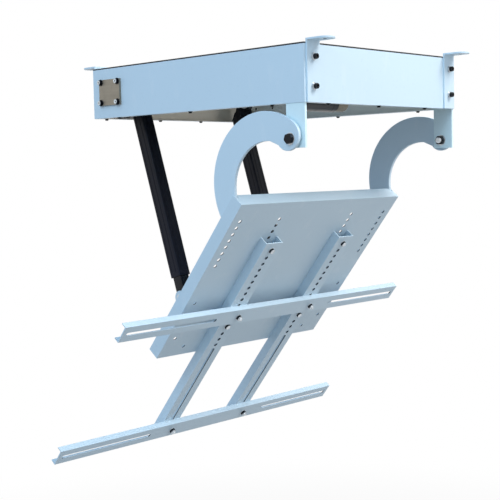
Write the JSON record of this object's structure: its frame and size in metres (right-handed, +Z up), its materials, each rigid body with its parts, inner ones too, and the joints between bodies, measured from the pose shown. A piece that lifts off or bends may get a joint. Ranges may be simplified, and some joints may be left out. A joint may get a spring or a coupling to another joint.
{
  "type": "flip-down ceiling television lift mechanism",
  "caption": "Motorised flip-down ceiling lift for a television: a steel housing, two hook arms, a hinged screen plate, cross rails and telescopic drive tubes.",
  "frame": {"origin": "centre of the four ceiling holes, on the top faces of the bracket ears", "axes": "+Z up to the ceiling, -Y to the side where the screen plate hinges, +X across the housing"},
  "size_m": [0.984, 0.814, 0.9549],
  "materials": {
    "powder_coat": "semi-gloss pale blue-white powder coat",
    "bracket_coat": "semi-gloss pale blue-white powder coat",
    "arm_coat": "semi-gloss pale blue-white powder coat",
    "plate_coat": "semi-gloss pale blue-white powder coat",
    "profile_coat": "semi-gloss pale blue-white powder coat",
    "zinc": "bright zinc plating",
    "bare_steel": "bare rolled steel, dull",
    "ground_steel": "ground steel, lightly oiled",
    "black_screws": "black oxide",
    "black_tube": "black anodised, satin",
    "dark_rod": "black oxide, satin",
    "black_case": "black satin enamel",
    "power_case": "black satin enamel"
  },
  "bodies": {
    "ceiling_frame": {"top_plate": "powder_coat", "side_panel_left": "powder_coat", "side_panel_right": "powder_coat", "front_panel": "powder_coat", "rear_panel": "powder_coat", "ceiling_bracket_front_left": "bracket_coat", "ceiling_bracket_front_right": "bracket_coat", "ceiling_bracket_rear_left": "bracket_coat", "ceiling_bracket_rear_right": "bracket_coat", "bracket_bolts": "black_screws", "bracket_nuts": "zinc", "pivot_lug_left": "arm_coat", "pivot_lug_right": "arm_coat", "pivot_spacer_left": "zinc", "pivot_spacer_right": "zinc", "pivot_bolt_left": "black_screws", "pivot_bolt_right": "black_screws", "pivot_nuts": "black_screws", "bearing_plate_left": "bare_steel", "bearing_plate_right": "bare_steel", "bearing_screws": "black_screws", "rear_shaft": "ground_steel", "shaft_collars": "ground_steel", "control_box": "black_case", "power_unit": "power_case", "power_clamps": "powder_coat", "lip_screws": "black_screws"},
    "swing": {"hook_arm_left": "arm_coat", "hook_arm_right": "arm_coat", "screen_plate": "plate_coat", "channel_left": "profile_coat", "channel_right": "profile_coat", "rail_upper": "profile_coat", "rail_lower": "profile_coat", "channel_bolts": "zinc", "channel_nuts": "zinc", "rail_bolts": "zinc", "rail_nuts": "zinc", "drive_bracket_left": "plate_coat", "drive_bracket_right": "plate_coat", "drive_pin_left": "zinc", "drive_pin_right": "zinc"},
    "drive_rod_left": {"inner_tube_left": "dark_rod", "rod_eye_left": "dark_rod", "drive_nut_left": "ground_steel"},
    "drive_tube_left": {"outer_tube_left": "black_tube", "drive_motor_left": "ground_steel", "gear_head_left": "black_tube", "tube_collar_left": "black_tube", "lead_screw_left": "ground_steel"},
    "drive_rod_right": {"inner_tube_right": "dark_rod", "rod_eye_right": "dark_rod", "drive_nut_right": "ground_steel"},
    "drive_tube_right": {"outer_tube_right": "black_tube", "drive_motor_right": "ground_steel", "gear_head_right": "black_tube", "tube_collar_right": "black_tube", "lead_screw_right": "ground_steel"}
  },
  "joints": [
    {"name": "flip", "type": "hinge", "parent": "ceiling_frame", "child": "swing", "pos_m": [0, -0.317, -0.2055], "axis": [-1, 0, 0], "range_deg": [0, 28.7]},
    {"name": "rod_swivel_left", "type": "hinge", "parent": "swing", "child": "drive_rod_left", "pos_m": [-0.178, 0.13609, -0.57672], "axis": [1, 0, 0], "range_deg": [0, 16.3]},
    {"name": "tube_slide_left", "type": "slide", "parent": "drive_rod_left", "child": "drive_tube_left", "axis": [0, 0.3035, 0.9528], "range_m": [0, 0.256]},
    {"name": "rod_swivel_right", "type": "hinge", "parent": "swing", "child": "drive_rod_right", "pos_m": [0.178, 0.13609, -0.57672], "axis": [1, 0, 0], "range_deg": [0, 16.3]},
    {"name": "tube_slide_right", "type": "slide", "parent": "drive_rod_right", "child": "drive_tube_right", "axis": [0, 0.3035, 0.9528], "range_m": [0, 0.256]}
  ],
  "couplings": [
    {"joint": "rod_swivel_left", "follows": "flip", "ratio": 0.5616},
    {"joint": "tube_slide_left", "follows": "flip", "m_per_rad": 0.5069},
    {"joint": "rod_swivel_right", "follows": "flip", "ratio": 0.5616},
    {"joint": "tube_slide_right", "follows": "flip", "m_per_rad": 0.5069}
  ]
}
